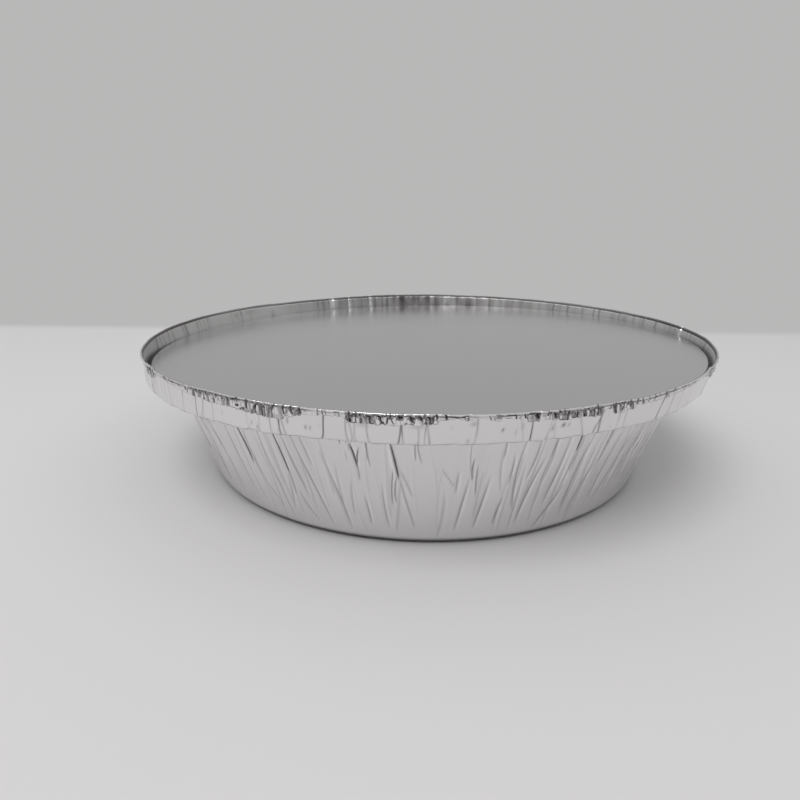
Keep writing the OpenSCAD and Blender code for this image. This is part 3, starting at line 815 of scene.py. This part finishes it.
def hem_pleats(rng, ring):
    """The random sizes and painted shade of the hem's pleats, and what varies along the ring of its angles."""
    places = pleat_places(rng)
    count = len(places)
    middles = (places + np.append(places[1:], ROUND)) / 2
    reach = hem_reach(middles) + rng.normal(0, 0.05, count)
    crushed = crushed_share(middles)
    plain = np.abs(off_front(middles)) < HEM_TO
    pleats = SimpleNamespace(ring=ring, places=places, count=count, reach=reach, crushed=crushed)
    pleats.leans = rng.normal(0, 0.20, count) * MM / RIM_R
    pleats.bows = rng.normal(0, 0.10, count) * MM / RIM_R
    kind = rng.random(count)
    # Black and grey pleats get dark and middling painted shade inside them
    black = (kind < 0.02 + 0.20 * crushed) & ~plain
    grey = (kind > 0.4) & (kind < 0.42 + 0.48 * crushed)
    pleats.rise = (1 - np.clip(reach, 0.15, 2)) * HEM_FACE_H
    flare = -0.25 + 0.27 * crushed + np.where(black, 0.08, 0)
    pleats.flare = np.where(reach > HANGING_HEM, -0.25, flare) * MM
    pleats.press = np.where(black | grey, rng.uniform(0.05, 0.2, count), 0) * MM
    bulge = np.where(black | grey, -0.06, rng.uniform(0.03, 0.14, count))
    pleats.bulge = bulge * (0.15 + crushed) * MM
    pleats.notch = rng.uniform(0.04, 0.16, count) * (0.2 + crushed) * MM
    pleats.drop = rng.uniform(0.0, 0.25, count) * MM
    black_tone = rng.uniform(0.6, 1.0, count)
    grey_tone = rng.uniform(0.3, 0.7, count) + 0.25 * plain
    pleats.tone = np.where(black, black_tone, np.where(grey, grey_tone, 0.0))
    pleats.tone_centre = rng.uniform(0.0, 1.0, count)
    pleats.tone_reach = rng.uniform(0.6, 1.6, count)
    pleats.arch_top = rng.uniform(-0.1, 0.25, count)
    pleats.arch_power = rng.uniform(1.6, 5.0, count)
    pleats.arch_dark = rng.uniform(0.4, 1.0, count) * crushed ** 0.5 * np.where(plain, 0.8, 1)
    pleats.line_dark = np.clip(rng.normal(0.5, 0.3, count), 0.05, 1)
    pleats.stripes = 0.85 + folded_line(rng, ring, *HEM_STRIPES)
    pleats.broken = unit(0.75 + folded_line(rng, ring, *HEM_BREAKS))
    pleats.in_front = near_front(ring, 45, 60)
    pleats.behind = 1 - near_front(ring, 100, 115)
    return pleats


def face_tone(pleats, pleat, face, tall, down, above):
    """How much painted shade a row of the hem's outer face gets: in its pleats, round their arches and along
    its edges.
    """
    reach = unit(1.25 - abs(face - pleats.tone_centre[pleat]) / pleats.tone_reach[pleat])
    inside = pleats.tone[pleat] * pleats.stripes * reach
    # Painted shade where the hem hangs down, round the arches, along the free edge and below the crest
    hanging = 0.45 * pleats.stripes * unit((down / HEM_FACE_H - 0.8) / 0.15)
    hanging = np.where(pleats.reach[pleat] > HANGING_HEM, hanging, 0)
    outline = pleats.arch_dark[pleat] * (unit(above) * 0.75 + 0.5 * hill(above))
    edge = pleats.line_dark[pleat] * pleats.broken * hill((1 - face) * tall / (0.15 * MM))
    under_crest = 0.9 * pleats.in_front + (1 - pleats.in_front) * pleats.crushed[pleat] * 0.8
    under_crest = under_crest * pleats.broken * hill((down - 0.06 * MM) / (0.13 * MM))
    return np.max([inside, hanging, outline, edge, under_crest], 0)


def hem_row(pleats, station):
    """A row of the hem: how far it moves out and up, how far down it lies, and how much painted shade it gets.

    The number of the pleat at each angle picks the sizes and tones that hold there."""
    ring = pleats.ring
    face, crest = max(station, 0), min(1 + station, 1)
    borders = pleats.places + 2 * pleats.leans * (face - 0.5) + pleats.bows * math.sin(math.pi * face)
    borders = np.sort(borders)
    pleat = (np.searchsorted(borders, ring, side="right") - 1) % pleats.count
    width = (borders[(pleat + 1) % pleats.count] - borders[pleat]) % ROUND
    across = ((ring - borders[pleat]) % ROUND) / width
    swell = 4 * across * (1 - across)
    tall = HEM_FACE_H - pleats.rise[pleat]
    down = face * tall if station >= 0 else np.full_like(ring, 0.4 * station * MM - 0.24 * MM)
    arch_top = pleats.arch_top[pleat]
    arch = arch_top + (1 - arch_top) * np.abs(2 * across - 1) ** pleats.arch_power[pleat]
    above = np.clip((arch - face) * tall / (0.12 * MM), -3, 3)
    out = pleats.flare[pleat] * face - pleats.press[pleat] * hill(face / 0.3) * crest
    out = out + pleats.bulge[pleat] * swell * math.sin(math.pi * min(face + 0.1, 1))
    out = out - pleats.notch[pleat] * unit(above) * crest
    up = (pleats.rise[pleat] - pleats.drop[pleat] * swell) * face
    # Painted shade: on the outer face, on the crest's inner side, and over all the hem at the back
    shade = np.zeros_like(ring)
    if station >= 0:
        shade = face_tone(pleats, pleat, face, tall, down, above)
    elif station < -0.5:
        shade = 0.7 - 0.3 * pleats.behind
    return out, up, down, np.maximum(shade, 0.4 * pleats.behind * (0.8 + 0.2 * pleats.broken))


def hem_strokes(rng):
    """The hem's strokes of painted shade, listed in front and random elsewhere.

    Each is (angle, share, angle, share, width, dark)."""
    strokes = [(from_front(a), first, from_front(b), last, width * MM, dark)
               for a, first, b, last, width, dark in HEM_STROKES]
    for _ in range(RANDOM_STROKES):
        place, first = rng.uniform(0, ROUND), rng.uniform(-0.1, 0.7)
        length, lean = rng.uniform(0.1, 0.7), math.radians(rng.normal(0, 0.25))
        width, dark = rng.uniform(0.2, 0.45) * MM, rng.uniform(0.5, 1.0)
        listed = abs(off_front(place)) < HEM_TO
        if not listed and rng.random() < 0.35 + 0.65 * crushed_share(place):
            strokes.append((place, first, place + lean, first + length, width, dark))
    return strokes


def press_stroke(sheet, a, first, b, last, width, dark):
    """Presses one stroke into the hem: a dark line of painted shade, of even width with soft edges."""
    x, z = wrapped(sheet.angle - a) * RIM_R, sheet.down - first * HEM_FACE_H
    run_x, run_z = wrapped(b - a) * RIM_R, (last - first) * HEM_FACE_H
    share = unit((x * run_x + z * run_z) / (run_x ** 2 + run_z ** 2 + 1e-12))
    far = np.hypot(x - share * run_x, z - share * run_z) / (0.68 * max(width, 0.24 * MM))
    dark_here = np.where(sheet.along > -0.45, min(1.1 * dark, 1) * hill(far, 4), 0)
    sheet.shade = np.maximum(sheet.shade, dark_here)
    sheet.out -= min(STROKE_DEPTH, 0.4 * width) * dark_here


def hem_folds(angle, along, radius):
    """The hem's pleats. Where it is crushed they are tall arches with painted shade, and elsewhere the hem is
    rolled tight and only its uneven edge shows, with painted shade along it."""
    rng = np.random.default_rng(HEM_SEED)
    pleats = hem_pleats(rng, angle[0])
    rows = [hem_row(pleats, station) for station in along[:, 0]]
    sheet = SimpleNamespace(angle=angle, along=along)
    sheet.out, up, sheet.down, sheet.shade = (np.array(values) for values in zip(*rows))
    for stroke in hem_strokes(rng):
        press_stroke(sheet, *stroke)
    crest = unit(1 + along)
    tops = folded_line(rng, angle, *CREST_TOPS) + ring_noise(rng, angle, (6, 30), 0.05 * MM)
    inner = lean_out(angle) * unit(-along * 1.6)
    bent = bent_tips(angle, radius)
    out = sheet.out * crest + rim_panels(angle) + inner + rim_growth(angle) + BENT_TIP * bent
    up = up + tops * unit(1 - along) * crest + rim_lift(angle)
    # The bent tips get a painted highlight on the hem
    return out, up, sheet.shade - bent


def make_hem(number):
    """A third of the rolled edge: a small crest, and an outer face crushed into small pleats.

    Its stations run from -1 inside the pan to 0 at the top of the outer face and 1 at the free edge."""
    inner_r, outer_r = 0.12 * MM, 0.2 * MM
    inner = arc((FLANGE_TOP_R + inner_r, TOP_Z - inner_r), inner_r, 2.88, math.pi / 2, 3)
    outer = arc((SHEET_RIM_R - 0.29 * MM, TOP_Z - outer_r), outer_r, 1.45, 0.4, 4)
    section = [(FLANGE_TOP_R - 0.16 * MM, TOP_Z - 0.8 * MM, -1.0)]
    section += [(r, z, -0.9 + 0.15 * i) for i, (r, z) in enumerate(inner)]
    section += [(r, z, -0.4 + 0.1 * i) for i, (r, z) in enumerate(outer)]
    section += [(SHEET_RIM_R, TOP_Z - HEM_CREST_H - s * HEM_FACE_H, s) for s in np.linspace(0, 1, 12)]
    return third("foil_pan_hem", number, section, HEM_STEPS, hem_folds)


def no_folds(angle, along, radius):
    return np.zeros((3, *angle.shape))


def make_base():
    """The base: a raised panel inside the flat band that the pan stands on."""
    panel_z = BASE_Z + PANEL_RISE
    section = [(0, panel_z, 0), (0.5 * FOOT_IN_R, panel_z, 0), (FOOT_IN_R - PANEL_EDGE_W, panel_z, 0)]
    section += [(FOOT_IN_R, BASE_Z, 0), (FOOT_IN_R + 0.5 * FOOT_BAND_W, BASE_Z, 0)]
    section += [(WALL_START_R + 0.01 * MM, BASE_Z, 0)]
    return bent_sheet("foil_pan_base", section, BASE_STEPS, no_folds)


def make_lid():
    """The lid: a thin round board with softened edges, tilted in the flange."""
    bm = bmesh.new()
    half = LID_T / 2
    radii = [0.0, 0.25 * LID_R, 0.5 * LID_R, 0.75 * LID_R, LID_R - 0.5 * MM]
    radii += [LID_R - 2 * LID_EDGE_R, LID_R - LID_EDGE_R]
    section = [(r, -half) for r in radii] + [(LID_R, -half + LID_EDGE_R), (LID_R, half - LID_EDGE_R)]
    section += [(r, half) for r in reversed(radii)]
    line = [bm.verts.new((r, 0, z)) for r, z in section]
    edges = [bm.edges.new(pair) for pair in zip(line, line[1:])]
    bmesh.ops.spin(bm, geom=line + edges, cent=(0, 0, 0), axis=(0, 0, 1), dvec=(0, 0, 0),
                   angle=ROUND, steps=LID_STEPS, use_merge=True, use_duplicate=False)
    closed_up(bm)
    tilt = math.asin(LID_LIFT / (2 * LID_R))
    middle = (Vector(LID_LOW) + Vector(LID_HIGH)) / 2
    turn = Matrix.Rotation(LID_LOW_SIDE, 4, "Z") @ Matrix.Rotation(tilt, 4, "Y")
    bmesh.ops.transform(bm, matrix=Matrix.Translation(middle) @ turn, verts=bm.verts[:])
    return finished(bm, "board_lid_disc")


def new_material(name):
    """A new material, its node tree and the inputs of its shader."""
    material = bpy.data.materials.new(name)
    material.use_nodes = True
    tree = material.node_tree
    return material, tree, tree.nodes["Principled BSDF"].inputs


def wire(tree, node, inputs):
    """Gives inputs of a node, by name or number, a constant or another node's output."""
    for name, value in inputs.items():
        if isinstance(value, bpy.types.NodeSocket):
            tree.links.new(value, node.inputs[name])
        else:
            node.inputs[name].default_value = value
    return node.outputs


def map_range(tree, value, limits, results, smooth=False):
    node = tree.nodes.new("ShaderNodeMapRange")
    node.interpolation_type = "SMOOTHSTEP" if smooth else "LINEAR"
    node.inputs["From Min"].default_value, node.inputs["From Max"].default_value = limits
    node.inputs["To Min"].default_value, node.inputs["To Max"].default_value = results
    return wire(tree, node, {"Value": value})["Result"]


def join(tree, operation, first, second):
    node = tree.nodes.new("ShaderNodeMath")
    node.operation = operation
    return wire(tree, node, {0: first, 1: second})["Value"]


def vector_value(tree, operation, *vectors):
    """The number that an operation makes of one or two vectors."""
    node = tree.nodes.new("ShaderNodeVectorMath")
    node.operation = operation
    return wire(tree, node, dict(enumerate(vectors)))["Value"]


def mix(tree, kind, share, first, last):
    node = tree.nodes.new("ShaderNodeMix")
    node.data_type = kind
    return wire(tree, node, {"Factor": share, "A": first, "B": last})["Result"]


def show_mixed(tree, output, share, first, last):
    """Shows a mix of two shaders at the tree's output node."""
    both = tree.nodes.new("ShaderNodeMixShader")
    mixed = wire(tree, both, {0: share, 1: first, 2: last})["Shader"]
    tree.links.new(mixed, tree.nodes[output].inputs["Surface"])


def noise(tree, place, scale):
    node = tree.nodes.new("ShaderNodeTexNoise")
    return wire(tree, node, {"Vector": place, "Scale": scale})["Fac"]


def coordinates(tree, space):
    """A point's place, and the same split into X, Y and Z."""
    place = tree.nodes.new("ShaderNodeTexCoord").outputs[space]
    split = tree.nodes.new("ShaderNodeSeparateXYZ")
    return place, wire(tree, split, {"Vector": place})


def seen_by_camera(tree):
    return tree.nodes.new("ShaderNodeLightPath").outputs["Is Camera Ray"]


def foil_material():
    """Bright metal, darker with painted shade or lighter with painted highlights as its folds say. Inside the
    flange it is rubbed rough, and towards the back it has painted shade there."""
    material, tree, shader = new_material("bright creased foil")
    shade = tree.nodes.new("ShaderNodeAttribute")
    shade.attribute_name = "shade"
    # The shade attribute mixes in painted shade, and below zero painted highlight
    tone = mix(tree, "RGBA", shade.outputs["Fac"], PLAIN_FOIL, PAINTED_FOLD_SHADE)
    tone.node.clamp_factor = False
    place, split = coordinates(tree, "Object")
    facing = tree.nodes.new("ShaderNodeTexCoord").outputs["Normal"]
    outward = vector_value(tree, "DOT_PRODUCT", facing, place)
    inside = map_range(tree, outward, (-0.02, -0.05), (0, 1))
    # Painted shade inside the flange, growing towards the back
    painted_back_shade = map_range(tree, split["Y"], (0.060, 0.088), (0.22, 0.60))
    colour = mix(tree, "RGBA", join(tree, "MULTIPLY", inside, painted_back_shade), tone, PAINTED_INSIDE_SHADE)
    rough = map_range(tree, noise(tree, place, 120), (0.3, 0.7), (0.17, 0.22))
    rubbed = map_range(tree, inside, (0, 1), (0, 0.28))
    shader["Metallic"].default_value = 1.0
    tree.links.new(colour, shader["Base Color"])
    tree.links.new(join(tree, "ADD", rough, rubbed), shader["Roughness"])
    return material


def laminate_material():
    """Satin grey metal with a faint haze."""
    material, tree, shader = new_material("satin grey laminate")
    place, _ = coordinates(tree, "Object")
    rough = map_range(tree, noise(tree, place, 30), (0.3, 0.7), (0.22, 0.25))
    shader["Metallic"].default_value = 1.0
    shader["Base Color"].default_value = LAMINATE
    tree.links.new(rough, shader["Roughness"])
    return material


def floor_material():
    """The pale board near the pan. Far off, the camera sees the same even tone as the room's."""
    material, tree, shader = new_material("pale board")
    shader["Base Color"].default_value = PALE_BOARD
    shader["Roughness"].default_value = 0.8
    place, split = coordinates(tree, "Object")
    behind = map_range(tree, split["Y"], (0.205, 0.232), (0, 1), smooth=True)
    away = map_range(tree, vector_value(tree, "LENGTH", place), (0.40, 0.90), (0, 1), smooth=True)
    far = join(tree, "MULTIPLY", join(tree, "MAXIMUM", behind, away), seen_by_camera(tree))
    board = tree.nodes["Principled BSDF"].outputs["BSDF"]
    haze = tree.nodes.new("ShaderNodeEmission")
    haze.inputs["Color"].default_value = ROOM_TONE
    show_mixed(tree, "Material Output", far, board, haze.outputs["Emission"])
    return material


def lay_floor():
    bm = bmesh.new()
    bmesh.ops.create_circle(bm, cap_ends=True, radius=FLOOR_R, segments=96)
    floor = finished(bm, "floor")
    floor.data.materials.append(floor_material())


def light_room():
    """The room's soft light: low down it is brighter behind the pan than before it, and halfway up the
    other way round. The camera itself sees an even tone."""
    world = bpy.data.worlds.new("room")
    bpy.context.scene.world = world
    world.use_nodes = True
    tree = world.node_tree
    _, split = coordinates(tree, "Generated")
    low = map_range(tree, split["Y"], (-0.6, 0.6), LOW_SKY)
    middle = map_range(tree, split["Y"], (-0.6, 0.6), MIDDLE_SKY)
    above_low = map_range(tree, split["Z"], (0.40, 0.60), (0, 1), smooth=True)
    above_middle = map_range(tree, split["Z"], (0.65, 0.95), (0, 1), smooth=True)
    sky = mix(tree, "FLOAT", above_low, low, middle)
    light = tree.nodes["Background"]
    brightness = mix(tree, "FLOAT", above_middle, sky, TOP_SKY)
    lit = wire(tree, light, {"Color": (1, 1, 1, 1), "Strength": brightness})["Background"]
    shown = tree.nodes.new("ShaderNodeBackground")
    shown.inputs["Color"].default_value = ROOM_TONE
    show_mixed(tree, "World Output", seen_by_camera(tree), lit, shown.outputs["Background"])


def set_up(name, data, place, ahead, roll=0.0):
    """Sets up a lamp or a camera at a place, looking ahead."""
    item = bpy.data.objects.new(name, data)
    turn = ahead.to_track_quat("-Z", "Y").to_matrix().to_4x4() @ Matrix.Rotation(-roll, 4, "Z")
    item.matrix_world = Matrix.Translation(place) @ turn
    bpy.context.scene.collection.objects.link(item)
    return item


def hang_lamp():
    """A round lamp at the upper left before the pan, turned to it."""
    lamp = bpy.data.lights.new("softbox", "AREA")
    lamp.shape = "DISK"
    lamp.size = LAMP_SIZE
    lamp.energy = LAMP_POWER
    set_up("softbox", lamp, LAMP_PLACE, -Vector(LAMP_PLACE))


def place_camera():
    """Placed as the photograph was taken: close, and a little above the rim."""
    level = math.cos(CAMERA_PITCH)
    ahead = (math.sin(CAMERA_YAW) * level, math.cos(CAMERA_YAW) * level, -math.sin(CAMERA_PITCH))
    lens = bpy.data.cameras.new("camera")
    lens.sensor_width = 36
    lens.lens = 27
    lens.clip_start = 0.005
    bpy.context.scene.camera = set_up("camera", lens, CAMERA_PLACE, Vector(ahead), CAMERA_ROLL)


foil = foil_material()
sheets = [make_wall(number) for number in range(THIRDS)] + [make_hem(number) for number in range(THIRDS)]
sheets += [make_flange(), make_base()]
for sheet in sheets:
    sheet.data.materials.append(foil)
    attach(sheet, "root")
    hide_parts("foil_pan")

lid = make_lid()
lid.data.materials.append(laminate_material())
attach(lid, "root")
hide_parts("board_lid")

lay_floor()
light_room()
hang_lamp()
place_camera()
bpy.context.scene.view_settings.view_transform = "Standard"
